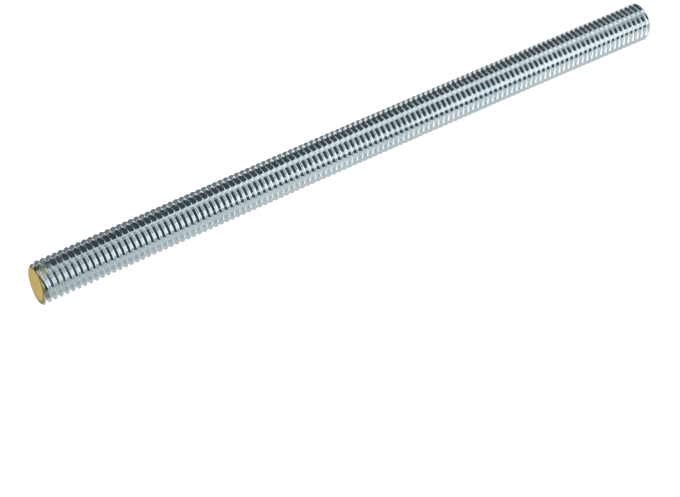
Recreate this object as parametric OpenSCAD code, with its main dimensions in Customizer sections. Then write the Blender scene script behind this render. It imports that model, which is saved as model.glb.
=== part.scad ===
// Threaded rod (stud bar): one length of steel, threaded from end to end with a
// right-hand metric thread, bevelled at both ends and marked with paint on one.
// It stands on its plain end, and the origin is the centre of that end's face.

/* [Thread] */
// Diameter over the crests of the thread
thread_d = 10; // [9.5:0.5:12]
// Distance that the thread climbs in one turn
pitch = 1.5; // [1.5:0.25:2]
// Angle between the two flanks of the groove
flank_angle = 60; // [55:1:65]
// Width of the flat along the crest
crest_w = 0.19; // [0.1:0.01:0.3]
// Width of the flat along the bottom of the groove
root_w = 0.25; // [0.15:0.01:0.4]
// Angle round the rod at which the groove comes out of the plain end
groove_start = 80; // [0:5:355]

/* [Rod] */
// Length between the two end faces
rod_length = 175; // [60:5:190]
// Diameter of the flat face that each bevel leaves
face_d = 8.8; // [7.6:0.2:9.2]
// Angle between each bevel and its end face
bevel_angle = 45; // [30:5:60]

/* [Paint mark] */
// Ring of bare metal between the paint and the edge of the face
paint_margin = 0.1; // [0.05:0.05:1]
// Thickness of the coat of paint
paint_t = 0.1; // [0.05:0.05:0.3]

/* [Hidden] */

zinc = [0.72, 0.77, 0.80];
yellow = [0.76, 0.65, 0.33];

// Flat facets in one turn of the thread, and the roundness of turned faces.
thread_sides = 12;
turned_sides = 96;

thread_r = thread_d / 2;
flank_slope = tan(flank_angle / 2);
flank_w = (pitch - crest_w - root_w) / 2;
root_r = thread_r - flank_w / flank_slope;

// The corners of one turn of the profile, as [height, radius]: up one flank from
// the bottom of the groove, along the crest, and down the other flank.
profile = [
    [0, root_r],
    [flank_w, thread_r],
    [flank_w + crest_w, thread_r],
    [flank_w + crest_w + flank_w, root_r]
];
corners = len(profile);

// The thread runs on for at least a turn past each end face, where the blank cuts it.
lead_turns = 1;
turns = ceil(rod_length / pitch) + 2 * lead_turns + 1;

// The skin of the thread is a grid. A column stands at one angle round the rod and
// holds the profile turn after turn; a row is one corner of the profile. The last
// column meets the first one a whole turn higher up.
rows = corners * turns + 1;
top_row = rows - 1;

function skin_point(column, row) =
    let (
        turn = floor(row / corners),
        corner = profile[row - corners * turn],
        climb = pitch * (turn - lead_turns + column / thread_sides),
        angle = groove_start + 360 * column / thread_sides
    )
    [corner[1] * cos(angle), corner[1] * sin(angle), corner[0] + climb];

function skin_index(column, row) =
    column < thread_sides ? column * rows + row : row + corners;

function skin_quad(column, row) =
    let (
        low = skin_index(column, row),
        high = skin_index(column, row + 1),
        next_low = skin_index(column + 1, row),
        next_high = skin_index(column + 1, row + 1)
    )
    [[low, high, next_high], [low, next_high, next_low]];

function fan(centre, ring) =
    [for (i = [0 : len(ring) - 1]) [centre, ring[i], ring[(i + 1) % len(ring)]]];

// The endless thread, before its ends are cut.
module thread() {
    last = thread_sides - 1;
    skin = [for (column = [0 : last]) for (row = [0 : top_row]) skin_point(column, row)];
    foot = len(skin);
    head = foot + 1;
    foot_point = [0, 0, -lead_turns * pitch];
    head_point = [0, 0, (turns - lead_turns) * pitch];
    walls = [
        for (column = [0 : last])
            for (row = [0 : top_row - 1 - (column == last ? corners : 0)])
                each skin_quad(column, row)
    ];
    foot_ring = concat(
        [for (column = [0 : last]) skin_index(column, 0)],
        [for (row = [corners : -1 : 1]) skin_index(0, row)]
    );
    head_ring = concat(
        [for (row = [top_row - corners : top_row]) skin_index(last, row)],
        [for (column = [last - 1 : -1 : 0]) skin_index(column, top_row)]
    );
    polyhedron(
        concat(skin, [foot_point, head_point]),
        concat(walls, fan(foot, foot_ring), fan(head, head_ring)),
        convexity = 10
    );
}

// The turned outline that the thread is cut to: flat end faces and a bevel at each.
// Between the bevels it is wider than the thread, so it leaves the crests alone.
module bevelled_blank() {
    face_r = face_d / 2;
    blank_r = thread_r + pitch;
    bevel_h = (blank_r - face_r) * tan(bevel_angle);
    rotate_extrude($fn = turned_sides)
        polygon([
            [0, 0],
            [face_r, 0],
            [blank_r, bevel_h],
            [blank_r, rod_length - bevel_h],
            [face_r, rod_length],
            [0, rod_length]
        ]);
}

module threaded_rod() {
    color(zinc)
        intersection() {
            thread();
            bevelled_blank();
        }
}

// A thin round coat of paint on the upper end face.
module end_paint() {
    color(yellow)
        translate([0, 0, rod_length])
            cylinder(d = face_d - 2 * paint_margin, h = paint_t, $fn = turned_sides);
}

threaded_rod();
end_paint();
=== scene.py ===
"""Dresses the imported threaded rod: fine rolled thread, zinc plating, paint mark, studio."""

import math

import bpy
import bmesh
from bpy.props import FloatProperty, FloatVectorProperty, IntProperty, PointerProperty
from mathutils import Matrix, Vector


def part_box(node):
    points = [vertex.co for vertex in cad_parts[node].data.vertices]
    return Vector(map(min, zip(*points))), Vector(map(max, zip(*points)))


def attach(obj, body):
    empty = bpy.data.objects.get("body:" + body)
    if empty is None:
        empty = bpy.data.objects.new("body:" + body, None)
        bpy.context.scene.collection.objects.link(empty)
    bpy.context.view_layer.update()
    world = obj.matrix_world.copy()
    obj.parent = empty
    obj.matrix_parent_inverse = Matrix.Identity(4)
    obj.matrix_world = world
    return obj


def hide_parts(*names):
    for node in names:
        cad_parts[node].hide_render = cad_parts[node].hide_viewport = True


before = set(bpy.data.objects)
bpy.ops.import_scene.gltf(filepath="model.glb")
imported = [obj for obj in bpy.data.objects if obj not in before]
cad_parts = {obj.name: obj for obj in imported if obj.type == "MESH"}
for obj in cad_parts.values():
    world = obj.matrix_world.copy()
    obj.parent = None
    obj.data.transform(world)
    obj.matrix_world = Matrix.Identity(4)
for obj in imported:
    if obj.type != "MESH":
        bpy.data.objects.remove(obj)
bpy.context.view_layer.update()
ROD_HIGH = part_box("threaded_rod")[1]
PAINT_LOW, PAINT_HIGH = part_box("end_paint")

bl_info = {
    "name": "Threaded rod",
    "version": (1, 0, 0),
    "blender": (4, 5, 0),
    "location": "3D View > Sidebar > Threaded rod",
    "description": "Models a zinc-plated threaded rod with a paint mark, and its studio",
    "category": "Add Mesh",
}

MM = 0.001
# Places nearer to each other than this count as the same place.
SAME_PLACE = 0.0001 * MM
# Points nearer to each other than this are merged into one.
WELD = 0.001 * MM
# Share of a face's normal that lies along the rod, above which it is an end face.
END_FACING = 0.9
# Turns that the thread is wound past each end of the rod, where it is then cut off.
LEAD_TURNS = 2
# Sides of the turned blank and of the dab of paint.
BLANK_SIDES = 128
DAB_SIDES = 96
# Angles between faces up to which the rod and the paint are shaded smooth.
ROD_SMOOTH = math.radians(40)
PAINT_SMOOTH = math.radians(50)


# Sizes and colours


class ThreadSizes(bpy.types.PropertyGroup):
    """The thread, from end to end of the rod."""

    crest_radius: FloatProperty(
        name="Crest radius",
        description="From the axis to the crest of the thread",
        default=ROD_HIGH[0],
        unit="LENGTH",
    )
    pitch: FloatProperty(
        name="Pitch",
        description="Distance that the thread climbs in one turn",
        default=1.5 * MM,
        unit="LENGTH",
    )
    flank_angle: FloatProperty(
        name="Flank angle",
        description="Angle between the two flanks of the groove",
        default=math.radians(60),
        subtype="ANGLE",
    )
    crest_width: FloatProperty(
        name="Crest width",
        description="Width of the flat along the crest",
        default=0.19 * MM,
        unit="LENGTH",
    )
    crest_rounding: FloatProperty(
        name="Crest rounding",
        description="How far the crest's corners are rounded off",
        default=0.035 * MM,
        unit="LENGTH",
    )
    root_width: FloatProperty(
        name="Root width",
        description="Width of the round bottom of the groove",
        default=0.25 * MM,
        unit="LENGTH",
    )
    groove_start: FloatProperty(
        name="Groove start",
        description="Angle round the rod at which the groove comes out of the plain end",
        default=math.radians(80),
        subtype="ANGLE",
    )
    steps: IntProperty(
        name="Steps",
        description="Faces in one turn of the thread",
        default=40,
        min=24,
        max=48,
    )


class EndSizes(bpy.types.PropertyGroup):
    """The two bevelled ends."""

    length: FloatProperty(
        name="Length",
        description="Length of the rod between its end faces",
        default=ROD_HIGH[2],
        unit="LENGTH",
    )
    face_diameter: FloatProperty(
        name="Face diameter",
        description="Diameter of the flat that the bevel leaves",
        default=8.8 * MM,
        unit="LENGTH",
    )
    cut_slant: FloatVectorProperty(
        name="Cut slant",
        description="How far both saw cuts are out of square, about X and about Y",
        default=(math.radians(0.5), math.radians(4), 0),
        subtype="EULER",
    )
    face_shift: FloatProperty(
        name="Face shift",
        description="How far the painted face sits off the axis, towards -X",
        default=0.3 * MM,
        unit="LENGTH",
    )
    bow: FloatProperty(
        name="Bow",
        description="How far the middle of the rod stands out of line, towards +X",
        default=0.45 * MM,
        unit="LENGTH",
    )
    rim_rounding: FloatProperty(
        name="Rim rounding",
        description="Width of the worn edge round each end face",
        default=0.12 * MM,
        unit="LENGTH",
    )


class PaintSizes(bpy.types.PropertyGroup):
    """The dab of paint on the upper end."""

    diameter: FloatProperty(
        name="Diameter",
        description="Mean diameter of the patch of paint",
        default=8.6 * MM,
        unit="LENGTH",
    )
    wobble: FloatProperty(
        name="Wobble",
        description="How far the edge of the paint strays in and out",
        default=0.08 * MM,
        unit="LENGTH",
    )
    thickness: FloatProperty(
        name="Thickness",
        description="Thickness of the coat at its middle",
        default=PAINT_HIGH[2] - PAINT_LOW[2],
        unit="LENGTH",
    )


class FinishColours(bpy.types.PropertyGroup):
    """Colours of the plating and the paint."""

    zinc: FloatVectorProperty(
        name="Zinc",
        description="Bright zinc plating",
        default=(0.81, 0.865, 0.88),
        subtype="COLOR",
    )
    passivation: FloatVectorProperty(
        name="Passivation",
        description="Cool tint of the passivated plating",
        default=(0.715, 0.80, 0.832),
        subtype="COLOR",
    )
    # The plating's colour turns to this one, darker and cooler, towards the painted end.
    end_darkening: FloatVectorProperty(
        name="End darkening",
        description="Duller plating towards the painted end",
        default=(0.62, 0.70, 0.735),
        subtype="COLOR",
    )
    smear: FloatVectorProperty(
        name="Smear",
        description="Thin film of stray paint on the first threads",
        default=(0.66, 0.65, 0.48),
        subtype="COLOR",
    )
    # A darker olive colour that covers nearly all of the bevel round the painted face, in
    # patches.
    bevel_darkening: FloatVectorProperty(
        name="Bevel darkening",
        description="Olive shade of the bevel round the painted face",
        default=(0.30, 0.29, 0.20),
        subtype="COLOR",
    )
    paint: FloatVectorProperty(
        name="Paint",
        description="Yellow marking paint",
        default=(0.53, 0.38, 0.09),
        subtype="COLOR",
    )
    paint_edge: FloatVectorProperty(
        name="Paint edge",
        description="Olive shade where the coat is thin over metal",
        default=(0.22, 0.17, 0.05),
        subtype="COLOR",
    )


class StudioSizes(bpy.types.PropertyGroup):
    """The camera, the floor and the tent that the metal reflects."""

    lens: FloatProperty(
        name="Lens", description="Focal length in millimetres", default=100.3
    )
    camera_place: FloatVectorProperty(
        name="Camera place",
        description="Where the camera stands",
        default=(0.0, -0.414, 0.2844),
        subtype="XYZ",
        unit="LENGTH",
    )
    camera_tilt: FloatProperty(
        name="Camera tilt",
        description="How far the camera looks down",
        default=math.radians(23.57),
        subtype="ANGLE",
    )
    camera_turn: FloatProperty(
        name="Camera turn",
        description="Heading of the camera from +Y towards -X",
        default=math.radians(2.96),
        subtype="ANGLE",
    )
    camera_roll: FloatProperty(
        name="Camera roll",
        description="How far the camera is rolled clockwise",
        default=math.radians(114.73),
        subtype="ANGLE",
    )
    floor_width: FloatProperty(
        name="Floor width",
        description="Side of the square floor",
        default=12.0,
        unit="LENGTH",
    )
    tent_radius: FloatProperty(
        name="Tent radius",
        description="Radius of the tent that the metal reflects",
        default=3.0,
        unit="LENGTH",
    )


# Mesh helpers


def deselect_all():
    """Leaves nothing selected, so that the next operator acts on its own piece."""
    bpy.ops.object.select_all(action="DESELECT")


def pick(obj):
    """Makes obj the only selected object and the active one."""
    deselect_all()
    obj.select_set(True)
    bpy.context.view_layer.objects.active = obj


def edit(obj, mode="VERT"):
    """Opens obj in edit mode with nothing selected."""
    pick(obj)
    bpy.ops.object.mode_set(mode="EDIT")
    bpy.ops.mesh.select_mode(type=mode)
    bpy.ops.mesh.select_all(action="DESELECT")


def leave_edit():
    """Closes edit mode."""
    bpy.ops.object.mode_set(mode="OBJECT")


def select_verts(obj, wanted):
    """Selects the vertices for which wanted(place) holds."""
    bpy.ops.mesh.select_all(action="DESELECT")
    mesh = bmesh.from_edit_mesh(obj.data)
    for vert in mesh.verts:
        vert.select = wanted(vert.co)
    mesh.select_flush_mode()
    bmesh.update_edit_mesh(obj.data)


def select_faces(obj, wanted):
    """Selects the faces for which wanted(face) holds."""
    bpy.ops.mesh.select_all(action="DESELECT")
    mesh = bmesh.from_edit_mesh(obj.data)
    for face in mesh.faces:
        face.select = wanted(face)
    mesh.select_flush_mode()
    bmesh.update_edit_mesh(obj.data)


def turn_selected(angle, axis, height):
    """Turns what is selected about X, Y or Z, through the rod's axis at that height."""
    # With no window this operator turns the other way, hence the minus sign.
    bpy.ops.transform.rotate(value=-angle, orient_axis=axis, center_override=(0, 0, height))


def new_piece(name):
    """Names the primitive just added and puts its place into its mesh."""
    piece = bpy.context.object
    piece.name = name
    piece.data.name = name
    bpy.ops.object.transform_apply(location=True, rotation=True, scale=True)
    return piece


def finish(piece, material, body, slot, *replaced):
    """Gives a piece its material and its body, and hides the CAD nodes it stands for; the slot
    is not used.
    """
    piece.data.materials.clear()
    piece.data.materials.append(material)
    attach(piece, body)
    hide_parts(*replaced)


# Shader helpers


def add_node(tree, kind, values=None, **settings):
    """Adds a shader node and sets its settings and its unlinked sockets."""
    node = tree.nodes.new(kind)
    for key, value in settings.items():
        setattr(node, key, value)
    for key, value in (values or {}).items():
        node.inputs[key].default_value = value
    return node


def bare_material(name):
    """A material with nothing but its output, whose surface socket comes with it."""
    material = bpy.data.materials.new(name)
    material.use_nodes = True
    tree = material.node_tree
    tree.nodes.clear()
    output = add_node(tree, "ShaderNodeOutputMaterial")
    return material, tree, output.inputs["Surface"]


def new_material(name):
    """A material with only a Principled shader and its output."""
    material, tree, surface = bare_material(name)
    shader = add_node(tree, "ShaderNodeBsdfPrincipled")
    tree.links.new(shader.outputs["BSDF"], surface)
    return material, tree, shader


def blend_colours(tree, factor, first, second):
    """Mixes two colours by a factor that changes over the surface."""
    mix = add_node(tree, "ShaderNodeMix", data_type="RGBA")
    tree.links.new(factor, mix.inputs["Factor"])
    for socket, colour in ((mix.inputs["A"], first), (mix.inputs["B"], second)):
        if isinstance(colour, bpy.types.NodeSocket):
            tree.links.new(colour, socket)
        else:
            socket.default_value = (*colour, 1.0)
    return mix.outputs["Result"]


def map_range(tree, value, low, high, to_low=0.0, to_high=1.0):
    """Spreads the stretch low to high of a value over to_low to to_high."""
    limits = {"From Min": low, "From Max": high, "To Min": to_low, "To Max": to_high}
    node = add_node(tree, "ShaderNodeMapRange", limits, interpolation_type="SMOOTHSTEP")
    tree.links.new(value, node.inputs["Value"])
    return node.outputs["Result"]


def add_math(tree, operation, first, second):
    """One step of arithmetic between sockets or plain numbers."""
    node = add_node(tree, "ShaderNodeMath", operation=operation)
    for socket, value in zip(node.inputs, (first, second)):
        if isinstance(value, bpy.types.NodeSocket):
            tree.links.new(value, socket)
        else:
            socket.default_value = value
    return node.outputs["Value"]


def height_along(tree):
    """The height along the rod, from its lower end."""
    place = add_node(tree, "ShaderNodeTexCoord")
    split = add_node(tree, "ShaderNodeSeparateXYZ")
    tree.links.new(place.outputs["Object"], split.inputs["Vector"])
    return split.outputs["Z"]


def distance_from_axis(tree):
    """How far a place on the surface is from the rod's axis."""
    place = add_node(tree, "ShaderNodeTexCoord")
    flat = add_node(tree, "ShaderNodeVectorMath", {1: (1.0, 1.0, 0.0)}, operation="MULTIPLY")
    tree.links.new(place.outputs["Object"], flat.inputs[0])
    reach = add_node(tree, "ShaderNodeVectorMath", operation="LENGTH")
    tree.links.new(flat.outputs["Vector"], reach.inputs[0])
    return reach.outputs["Value"]


def mottle_group():
    """Node group: soft blotches and fine grain, for any finish, on object coordinates."""
    name = "mottle"
    if name in bpy.data.node_groups:
        return bpy.data.node_groups[name]
    group = bpy.data.node_groups.new(name, "ShaderNodeTree")
    face = group.interface
    for label, value in (("Blotch Scale", 200.0), ("Grain Scale", 2500.0)):
        socket = face.new_socket(label, in_out="INPUT", socket_type="NodeSocketFloat")
        socket.default_value = value
    for label in ("Blotch", "Grain"):
        face.new_socket(label, in_out="OUTPUT", socket_type="NodeSocketFloat")
    inside = add_node(group, "NodeGroupInput")
    outside = add_node(group, "NodeGroupOutput")
    place = add_node(group, "ShaderNodeTexCoord")
    for label, detail in (("Blotch", 3.0), ("Grain", 5.0)):
        noise = add_node(group, "ShaderNodeTexNoise", {"Detail": detail, "Roughness": 0.6})
        group.links.new(place.outputs["Object"], noise.inputs["Vector"])
        group.links.new(inside.outputs[f"{label} Scale"], noise.inputs["Scale"])
        group.links.new(noise.outputs["Fac"], outside.inputs[label])
    return group


def add_mottle(tree, blotch_scale, grain_scale):
    """Places the mottle group and returns its blotch and grain outputs."""
    scales = {"Blotch Scale": blotch_scale, "Grain Scale": grain_scale}
    node = add_node(tree, "ShaderNodeGroup", scales, node_tree=mottle_group())
    return node.outputs["Blotch"], node.outputs["Grain"]


def add_bump(tree, shader, height, strength, distance):
    """Bumps a shader's normal by a height."""
    bump = add_node(tree, "ShaderNodeBump", {"Strength": strength, "Distance": distance})
    tree.links.new(height, bump.inputs["Height"])
    tree.links.new(bump.outputs["Normal"], shader.inputs["Normal"])


# Finishes


# Scales of the coarse and the fine noise in each finish, in spots to the metre.
PLATING_GRAIN = (350.0, 4000.0)
PLATING_STREAKS = (45.0, 450.0)
PAINT_GRAIN = (700.0, 5000.0)
# The values that the fine noise mostly keeps to.
NOISE_LOW, NOISE_HIGH = 0.3, 0.7
# Changes of the plating by the painted end: the distances from that end at which each
# starts and is full, and its strength there.
END_DARKENING = (80 * MM, 0.0, 0.7)
DULLING = (22 * MM, 0.0, 0.1)
SMEAR = (8 * MM, 1 * MM, 1.0)
BEVEL_DARKENING = (1 * MM, 0.5 * MM, 1.0)
# Width of the ring at the paint's edge over which its colour changes.
PAINT_EDGE = 0.5 * MM


def by_painted_end(tree, length, change):
    """Grows from nothing to its full strength as one change of the plating says."""
    start, full, strength = change
    return map_range(tree, height_along(tree), length - start, length - full, 0.0, strength)


def zinc_material(colours, length):
    """Bright zinc with a cool passivation, duller and smeared by the painted end."""
    material, tree, shader = new_material("zinc_plated_steel")
    blotch, grain = add_mottle(tree, *PLATING_GRAIN)
    drift, streak = add_mottle(tree, *PLATING_STREAKS)

    # The passivation's tint comes and goes, over a few millimetres and a few centimetres.
    near_tint = map_range(tree, blotch, 0.38, 0.62, 0.0, 0.4)
    slow_tint = map_range(tree, drift, 0.42, 0.58, 0.0, 0.6)
    tint = add_math(tree, "ADD", near_tint, slow_tint)
    bright = blend_colours(tree, tint, colours.zinc, colours.passivation)
    # Towards the painted end the plating's colour turns darker and cooler.
    end_darkened = by_painted_end(tree, length, END_DARKENING)
    metal = blend_colours(tree, end_darkened, bright, colours.end_darkening)

    # Paint is smeared in streaks over the last turns, and nearly all of the bevel is coloured a
    # darker olive, in patches.
    streaks = map_range(tree, streak, 0.5, 0.62, 0.0, 0.8)
    smeared = add_math(tree, "MULTIPLY", by_painted_end(tree, length, SMEAR), streaks)
    smeared_metal = blend_colours(tree, smeared, metal, colours.smear)
    patches = map_range(tree, streak, 0.35, 0.6, 0.95, 0.5)
    bevel_darkened = add_math(tree, "MULTIPLY", by_painted_end(tree, length, BEVEL_DARKENING), patches)
    colour = blend_colours(tree, bevel_darkened, smeared_metal, colours.bevel_darkening)
    tree.links.new(colour, shader.inputs["Base Color"])

    # The plating is bright, and duller towards the end and where paint lies on it.
    polish = map_range(tree, grain, NOISE_LOW, NOISE_HIGH, 0.02, 0.05)
    dulled = add_math(tree, "ADD", by_painted_end(tree, length, DULLING), polish)
    film = add_math(tree, "MULTIPLY", smeared, 0.2)
    tree.links.new(add_math(tree, "ADD", dulled, film), shader.inputs["Roughness"])
    covered = add_math(tree, "MULTIPLY", smeared, 0.5)
    tree.links.new(add_math(tree, "SUBTRACT", 1.0, covered), shader.inputs["Metallic"])
    add_bump(tree, shader, grain, 0.04, 0.0005 * MM)
    return material


def paint_material(colours, radius):
    """Dabbed marking paint, olive and thin at its edge."""
    material, tree, shader = new_material("yellow_paint")
    blotch, grain = add_mottle(tree, *PAINT_GRAIN)
    darker = tuple(0.8 * channel for channel in colours.paint)
    dabs = map_range(tree, blotch, 0.35, 0.65)
    body_colour = blend_colours(tree, dabs, colours.paint, darker)
    edge = map_range(tree, distance_from_axis(tree), radius - PAINT_EDGE, radius)
    colour = blend_colours(tree, edge, body_colour, colours.paint_edge)
    tree.links.new(colour, shader.inputs["Base Color"])
    dry = map_range(tree, grain, NOISE_LOW, NOISE_HIGH, 0.4, 0.55)
    tree.links.new(dry, shader.inputs["Roughness"])
    add_bump(tree, shader, grain, 0.3, 0.02 * MM)
    return material


# Pieces


def draw_profile(sizes, root_radius, flank_width, start_height):
    """Draws one turn of the thread's profile, from mid-groove to mid-groove."""
    bpy.ops.mesh.primitive_plane_add(size=sizes.pitch, location=(root_radius, 0, start_height))
    rod = new_piece("rolled_thread")
    edit(rod)
    # The plane is drawn together into the profile's first point.
    bpy.ops.mesh.select_all(action="SELECT")
    bpy.ops.mesh.merge(type="CENTER")
    depth = sizes.crest_radius - root_radius
    strokes = (
        (0, sizes.root_width / 2),
        (depth, flank_width),
        (0, sizes.crest_width),
        (-depth, flank_width),
        (0, sizes.root_width / 2),
    )
    for out, up in strokes:
        bpy.ops.mesh.extrude_region_move(TRANSFORM_OT_translate={"value": (out, 0, up)})
    return rod


def round_profile(rod, sizes, root_radius):
    """Rounds the groove's bottom into one arc and breaks the crest's corners."""
    heights = sorted(vert.co.z for vert in bmesh.from_edit_mesh(rod.data).verts)
    lowest, highest = heights[0], heights[-1]

    def groove_corner(place):
        inside = lowest + SAME_PLACE < place.z < highest - SAME_PLACE
        return inside and abs(place.x - root_radius) < SAME_PLACE

    def crest_corner(place):
        return abs(place.x - sizes.crest_radius) < SAME_PLACE

    select_verts(rod, groove_corner)
    bpy.ops.mesh.bevel(offset=sizes.root_width / 2, segments=4, affect="VERTICES")
    select_verts(rod, crest_corner)
    bpy.ops.mesh.bevel(offset=sizes.crest_rounding, segments=2, affect="VERTICES")
    bpy.ops.mesh.select_all(action="SELECT")
    bpy.ops.mesh.remove_doubles(threshold=WELD)
    leave_edit()


def climb(rod, sizes, turns):
    """Winds the profile up the rod and closes the skin at its two ends."""
    screw = rod.modifiers.new("climb", "SCREW")
    screw.axis = "Z"
    screw.angle = math.tau
    screw.screw_offset = sizes.pitch
    screw.steps = sizes.steps
    screw.render_steps = sizes.steps
    screw.iterations = turns
    bpy.ops.object.modifier_apply(modifier=screw.name)
    edit(rod)
    bpy.ops.mesh.select_all(action="SELECT")
    bpy.ops.mesh.remove_doubles(threshold=WELD)
    bpy.ops.mesh.fill_holes(sides=0)
    bpy.ops.mesh.normals_make_consistent(inside=False)
    turn_selected(sizes.groove_start, "Z", 0)
    leave_edit()


def slant_cut(ends, height, shift):
    """Tilts what is selected like a saw cut at that height, and shifts it towards -X."""
    for angle, axis in zip(ends.cut_slant, "XYZ"):
        turn_selected(angle, axis, height)
    bpy.ops.transform.translate(value=(-shift, 0, 0))


def bevelled_blank(ends, radius):
    """The turned outline of the rod, wider than the thread between its bevels."""
    deselect_all()
    bpy.ops.mesh.primitive_cylinder_add(
        vertices=BLANK_SIDES, radius=radius, depth=ends.length, location=(0, 0, ends.length / 2)
    )
    blank = new_piece("bevelled_blank")
    edit(blank, "FACE")
    select_faces(blank, lambda face: abs(face.normal.z) > END_FACING)
    bpy.ops.mesh.region_to_loop()
    bpy.ops.mesh.bevel(
        offset=radius - ends.face_diameter / 2, segments=1, affect="EDGES", clamp_overlap=False
    )
    bpy.ops.mesh.select_mode(type="FACE")
    select_faces(blank, lambda face: abs(face.normal.z) > END_FACING)
    bpy.ops.mesh.region_to_loop()
    bpy.ops.mesh.bevel(offset=ends.rim_rounding, segments=2, affect="EDGES")
    bpy.ops.mesh.select_mode(type="VERT")
    select_verts(blank, lambda place: place.z < ends.length / 2)
    slant_cut(ends, 0, 0)
    select_verts(blank, lambda place: place.z > ends.length / 2)
    slant_cut(ends, ends.length, ends.face_shift)
    leave_edit()
    return blank


def bow_sideways(piece, ends):
    """Moves a piece sideways with the slight bow that a cut length has."""
    # The square of share is on average a third, so the rod's mean place stays on its axis.
    mean_square = 1 / 3
    for vert in piece.data.vertices:
        share = 2 * vert.co.z / ends.length - 1
        vert.co.x += ends.bow * (mean_square - share * share)


def cut_ends(rod, blank):
    """Cuts the wound thread to the blank, and marks the cut edges sharp."""
    # Two stand-in materials tell the cut faces from those of the thread.
    thread_finish = bpy.data.materials.new("thread")
    cut_finish = bpy.data.materials.new("cut")
    rod.data.materials.append(thread_finish)
    blank.data.materials.append(cut_finish)
    cut = rod.modifiers.new("ends", "BOOLEAN")
    cut.operation = "INTERSECT"
    cut.solver = "MANIFOLD"
    cut.object = blank
    pick(rod)
    bpy.ops.object.modifier_apply(modifier=cut.name)
    bpy.data.objects.remove(blank)
    cut_slot = rod.data.materials.find(cut_finish.name)
    edit(rod, "FACE")
    select_faces(rod, lambda face: face.material_index == cut_slot)
    bpy.ops.mesh.region_to_loop()
    bpy.ops.mesh.mark_sharp()
    leave_edit()
    for finish_mark in (thread_finish, cut_finish):
        bpy.data.materials.remove(finish_mark)


class ROD_OT_rolled_thread(bpy.types.Operator):
    """Model the rod: a rolled thread from end to end, cut off and bevelled"""

    bl_idname = "rod.rolled_thread"
    bl_label = "Rolled thread"
    bl_options = {"REGISTER", "UNDO"}

    def execute(self, context):
        sizes = context.scene.rod_thread
        ends = context.scene.rod_ends
        flank_width = (sizes.pitch - sizes.crest_width - sizes.root_width) / 2
        depth = flank_width / math.tan(sizes.flank_angle / 2)
        root_radius = sizes.crest_radius - depth
        lead = LEAD_TURNS * sizes.pitch
        turns = math.ceil((ends.length + 2 * lead) / sizes.pitch)
        deselect_all()
        rod = draw_profile(sizes, root_radius, flank_width, -sizes.root_width / 2 - lead)
        round_profile(rod, sizes, root_radius)
        climb(rod, sizes, turns)
        blank = bevelled_blank(ends, sizes.crest_radius + sizes.pitch)
        cut_ends(rod, blank)
        bow_sideways(rod, ends)
        pick(rod)
        bpy.ops.object.shade_smooth_by_angle(angle=ROD_SMOOTH)
        weigh = rod.modifiers.new("even shading", "WEIGHTED_NORMAL")
        weigh.keep_sharp = True
        bpy.ops.object.modifier_apply(modifier=weigh.name)
        colours = context.scene.rod_colours
        material = zinc_material(colours, ends.length)
        finish(rod, material, "root", "zinc_plated_steel", "threaded_rod")
        return {"FINISHED"}


# Widths of the rings that the coat is divided into from its edge, as shares of its radius.
COAT_RINGS = (0.06, 0.1, 0.2, 0.2, 0.2)
# The waves that make the coat's edge stray: how many go round, how strong, how far turned.
EDGE_WAVES = ((3, 0.5, 0.7), (7, 0.3, 0.0), (16, 0.2, 0.0))
# Share of the coat's thickness that is lost at its edge.
EDGE_LOSS = 0.85
# How steeply the stray and the loss of thickness fade inwards from the edge.
STRAY_POWER = 4
LOSS_POWER = 6


def uneven_coat(dab, sizes, radius, bottom):
    """Makes the coat's edge stray in and out, and thins the coat towards it."""
    mesh = bmesh.from_edit_mesh(dab.data)
    for vert in mesh.verts:
        angle = math.atan2(vert.co.y, vert.co.x)
        stray = sum(force * math.sin(waves * angle + turn) for waves, force, turn in EDGE_WAVES)
        share = vert.co.xy.length / radius
        vert.co.xy *= 1 + sizes.wobble / radius * stray * share**STRAY_POWER
        if vert.co.z > bottom + sizes.thickness / 2:
            vert.co.z = bottom + sizes.thickness * (1 - EDGE_LOSS * share**LOSS_POWER)
    bmesh.update_edit_mesh(dab.data)


class ROD_OT_paint_mark(bpy.types.Operator):
    """Model the dab of paint that covers the upper end face"""

    bl_idname = "rod.paint_mark"
    bl_label = "Paint mark"
    bl_options = {"REGISTER", "UNDO"}

    def execute(self, context):
        sizes = context.scene.rod_paint
        ends = context.scene.rod_ends
        bottom = ends.length
        radius = sizes.diameter / 2
        deselect_all()
        bpy.ops.mesh.primitive_cylinder_add(
            vertices=DAB_SIDES,
            radius=radius,
            depth=sizes.thickness,
            location=(0, 0, bottom + sizes.thickness / 2),
        )
        dab = new_piece("paint_dab")
        edit(dab, "FACE")
        select_faces(dab, lambda face: face.normal.z > END_FACING)
        for width in COAT_RINGS:
            bpy.ops.mesh.inset(thickness=radius * width)
        uneven_coat(dab, sizes, radius, bottom)
        bpy.ops.mesh.select_all(action="SELECT")
        slant_cut(ends, bottom, ends.face_shift)
        leave_edit()
        bow_sideways(dab, ends)
        bpy.ops.object.shade_smooth_by_angle(angle=PAINT_SMOOTH)
        colours = context.scene.rod_colours
        finish(dab, paint_material(colours, radius), "root", "yellow_paint", "end_paint")
        return {"FINISHED"}


# Studio


WHITE = (1.0, 1.0, 1.0, 1.0)
# The floor's colour, and how much it glows to the camera.
FLOOR_COLOUR = (0.8, 0.8, 0.8, 1.0)
FLOOR_GLOW = 0.5
# Strength of the white surroundings as light on matt surfaces.
AMBIENT = 0.55
# The soft lamp over the rod: its place and width in metres and its power in watts.
LAMP_PLACE = (-0.3, -0.2, 1.6)
LAMP_WIDTH = 1.4
LAMP_POWER = 18.0


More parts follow.
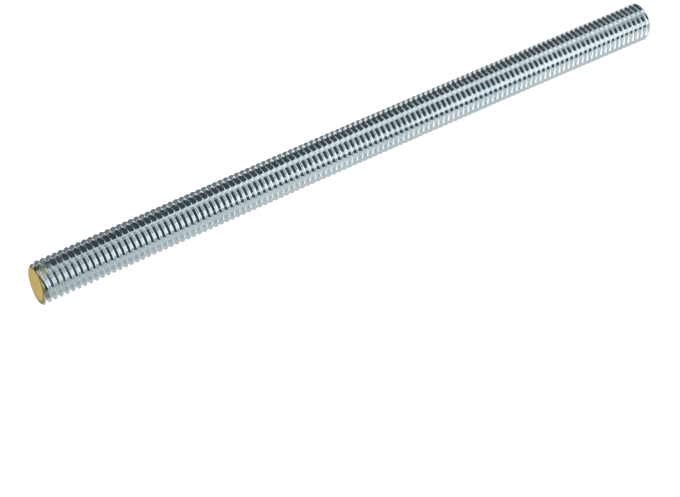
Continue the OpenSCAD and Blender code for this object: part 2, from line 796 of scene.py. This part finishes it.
def floor_material():
    """A matt surface that also glows a little to the camera."""
    material, tree, surface = bare_material("floor")
    matt = add_node(tree, "ShaderNodeBsdfDiffuse", {"Color": FLOOR_COLOUR})
    light = add_node(tree, "ShaderNodeEmission", {"Color": WHITE})
    rays = add_node(tree, "ShaderNodeLightPath").outputs
    glow = add_math(tree, "MULTIPLY", rays["Is Camera Ray"], FLOOR_GLOW)
    tree.links.new(glow, light.inputs["Strength"])
    both = add_node(tree, "ShaderNodeAddShader")
    tree.links.new(matt.outputs["BSDF"], both.inputs[0])
    tree.links.new(light.outputs["Emission"], both.inputs[1])
    tree.links.new(both.outputs["Shader"], surface)
    return material


def tone_material(name, colour):
    """An even panel of one colour, whatever light falls on it."""
    material, tree, surface = bare_material(name)
    light = add_node(tree, "ShaderNodeEmission", {"Color": (*colour, 1.0)})
    tree.links.new(light.outputs["Emission"], surface)
    return material


# What the metal reflects: tones, as shares of plain white, the darker ones a little cool,
# and the cards that stand round the rod. Each card has a tone, and the azimuths and the
# elevations in degrees that it covers, with azimuth 0 at the camera's side and 90 at +X.
# A later card stands in front of an earlier one, and the first is the tent itself.
TONES = {
    "black": (0.07, 0.085, 0.095),
    "dark": (0.2, 0.23, 0.25),
    "grey": (0.48, 0.5, 0.51),
    "wall": (0.61, 0.63, 0.64),
    "pale": (0.86, 0.86, 0.86),
    "white": (1.2, 1.2, 1.2),
    "lamp": (1.8, 1.8, 1.8),
}
CARDS = {
    "tent": ("wall", (-180, 180), (-90, 90)),
    "wall_right": ("black", (65, 135), (-35, 55)),
    "wall_far": ("pale", (135, 145), (5, 45)),
    "gap_far": ("dark", (145, 180), (-30, 35)),
    "roof_right": ("dark", (65, 115), (50, 75)),
    "foot_right": ("white", (65, 120), (-45, -30)),
    "roof_left": ("white", (-145, -95), (35, 80)),
    "wall_left": ("pale", (-105, -50), (-35, 5)),
    "table": ("black", (-65, 35), (-45, -20)),
    "ceiling": ("black", (-70, 65), (60, 90)),
    "soft_box": ("lamp", (-45, -5), (-20, 15)),
    "card_front": ("white", (-5, 40), (-5, 20)),
    "floor_right": ("grey", (35, 65), (-45, -30)),
    "foot_left": ("pale", (-40, -20), (-35, -30)),
    "card_left": ("white", (-40, -15), (-30, -10)),
    "shelf": ("grey", (20, 40), (-25, -10)),
    "bar_right": ("white", (40, 65), (-30, -5)),
    "sky_card": ("white", (-25, 15), (35, 60)),
    "sky_gap_right": ("dark", (15, 65), (30, 60)),
    "sky_gap_left": ("dark", (-85, -50), (20, 60)),
    "foot_back": ("dark", (-180, -90), (-65, -40)),
}
# The cards' edges, and the tent's faces, lie on whole steps of this many degrees.
CARD_STEP = 5


def in_card(place, azimuth, elevation):
    """Whether a place, seen from the middle of the rod, lies within a card."""
    turn = math.degrees(math.atan2(place.x, -place.y))
    rise = math.degrees(math.atan2(place.z, place.xy.length))
    return azimuth[0] < turn < azimuth[1] and elevation[0] < rise < elevation[1]


def paint_card(tent, middle, tone, azimuth, elevation):
    """Gives the tent's faces within one card that card's tone."""

    def covered(face):
        return in_card(face.calc_center_median() - middle, azimuth, elevation)

    select_faces(tent, covered)
    tent.active_material_index = list(TONES).index(tone)
    bpy.ops.object.material_slot_assign()


def add_tent(radius, middle):
    """A round tent, painted with the cards, which shows only in the metal."""
    deselect_all()
    bpy.ops.mesh.primitive_uv_sphere_add(
        segments=360 // CARD_STEP,
        ring_count=180 // CARD_STEP,
        radius=radius,
        location=middle,
    )
    tent = new_piece("tent")
    for tone, colour in TONES.items():
        tent.data.materials.append(tone_material("tent_" + tone, colour))
    edit(tent, "FACE")
    for card in CARDS.values():
        paint_card(tent, middle, *card)
    leave_edit()
    tent.visible_camera = False
    tent.visible_diffuse = False
    tent.visible_shadow = False


def set_world():
    """White all round to the camera, softer as light on matt surfaces."""
    world = bpy.data.worlds.new("studio")
    world.use_nodes = True
    bpy.context.scene.world = world
    tree = world.node_tree
    tree.nodes.clear()
    rays = add_node(tree, "ShaderNodeLightPath").outputs
    strength = map_range(tree, rays["Is Diffuse Ray"], 0.0, 1.0, 1.0, AMBIENT)
    sky = add_node(tree, "ShaderNodeBackground", {"Color": WHITE})
    tree.links.new(strength, sky.inputs["Strength"])
    output = add_node(tree, "ShaderNodeOutputWorld")
    tree.links.new(sky.outputs["Background"], output.inputs["Surface"])


def add_lamp(middle):
    """A square soft lamp over the rod, which the metal doesn't mirror."""
    light = bpy.data.lights.new("key", "AREA")
    light.shape = "SQUARE"
    light.size = LAMP_WIDTH
    light.energy = LAMP_POWER
    lamp = bpy.data.objects.new("key", light)
    bpy.context.scene.collection.objects.link(lamp)
    lamp.location = LAMP_PLACE
    aim = middle - Vector(LAMP_PLACE)
    lamp.rotation_euler = aim.to_track_quat("-Z", "Y").to_euler()
    lamp.visible_glossy = False


def add_camera(studio):
    """Stands the camera at its place, tilted down, turned and rolled."""
    data = bpy.data.cameras.new("camera")
    data.lens = studio.lens
    data.sensor_width = 36.0
    data.clip_start = 0.01
    camera = bpy.data.objects.new("camera", data)
    bpy.context.scene.collection.objects.link(camera)
    heading = Matrix.Rotation(studio.camera_turn, 4, "Z")
    tilt = Matrix.Rotation(math.pi / 2 - studio.camera_tilt, 4, "X")
    roll = Matrix.Rotation(-studio.camera_roll, 4, "Z")
    camera.matrix_world = Matrix.Translation(studio.camera_place) @ heading @ tilt @ roll
    bpy.context.scene.camera = camera


class ROD_OT_studio(bpy.types.Operator):
    """Set up the pale floor, the tent that the metal reflects, the lamp and the camera"""

    bl_idname = "rod.studio"
    bl_label = "Studio"
    bl_options = {"REGISTER", "UNDO"}

    def execute(self, context):
        studio = context.scene.rod_studio
        context.scene.view_settings.view_transform = "Standard"
        deselect_all()
        bpy.ops.mesh.primitive_plane_add(size=studio.floor_width)
        floor = new_piece("floor")
        floor.data.materials.append(floor_material())
        # The metal mirrors the tent instead, because a white floor would bleach it all over.
        floor.visible_glossy = False
        middle = Vector((0, 0, ROD_HIGH[2] / 2))
        add_tent(studio.tent_radius, middle)
        set_world()
        add_lamp(middle)
        add_camera(studio)
        return {"FINISHED"}


class ROD_PT_panel(bpy.types.Panel):
    """Lists the rod's pieces and its studio"""

    bl_idname = "ROD_PT_panel"
    bl_label = "Threaded rod"
    bl_space_type = "VIEW_3D"
    bl_region_type = "UI"
    bl_category = "Threaded rod"

    def draw(self, context):
        for kind in (ROD_OT_rolled_thread, ROD_OT_paint_mark, ROD_OT_studio):
            self.layout.operator(kind.bl_idname)


CLASSES = (
    ThreadSizes,
    EndSizes,
    PaintSizes,
    FinishColours,
    StudioSizes,
    ROD_OT_rolled_thread,
    ROD_OT_paint_mark,
    ROD_OT_studio,
    ROD_PT_panel,
)
SETTINGS = {
    "rod_thread": ThreadSizes,
    "rod_ends": EndSizes,
    "rod_paint": PaintSizes,
    "rod_colours": FinishColours,
    "rod_studio": StudioSizes,
}


def register():
    """Adds the classes, and the settings that each scene then holds."""
    for kind in CLASSES:
        bpy.utils.register_class(kind)
    for name, kind in SETTINGS.items():
        setattr(bpy.types.Scene, name, PointerProperty(type=kind))


def unregister():
    """Takes the settings and the classes away again."""
    for name in SETTINGS:
        delattr(bpy.types.Scene, name)
    for kind in reversed(CLASSES):
        bpy.utils.unregister_class(kind)


def main():
    """Builds the rod, its paint mark and its studio."""
    register()
    bpy.ops.rod.rolled_thread()
    bpy.ops.rod.paint_mark()
    bpy.ops.rod.studio()


if __name__ == "__main__":
    main()
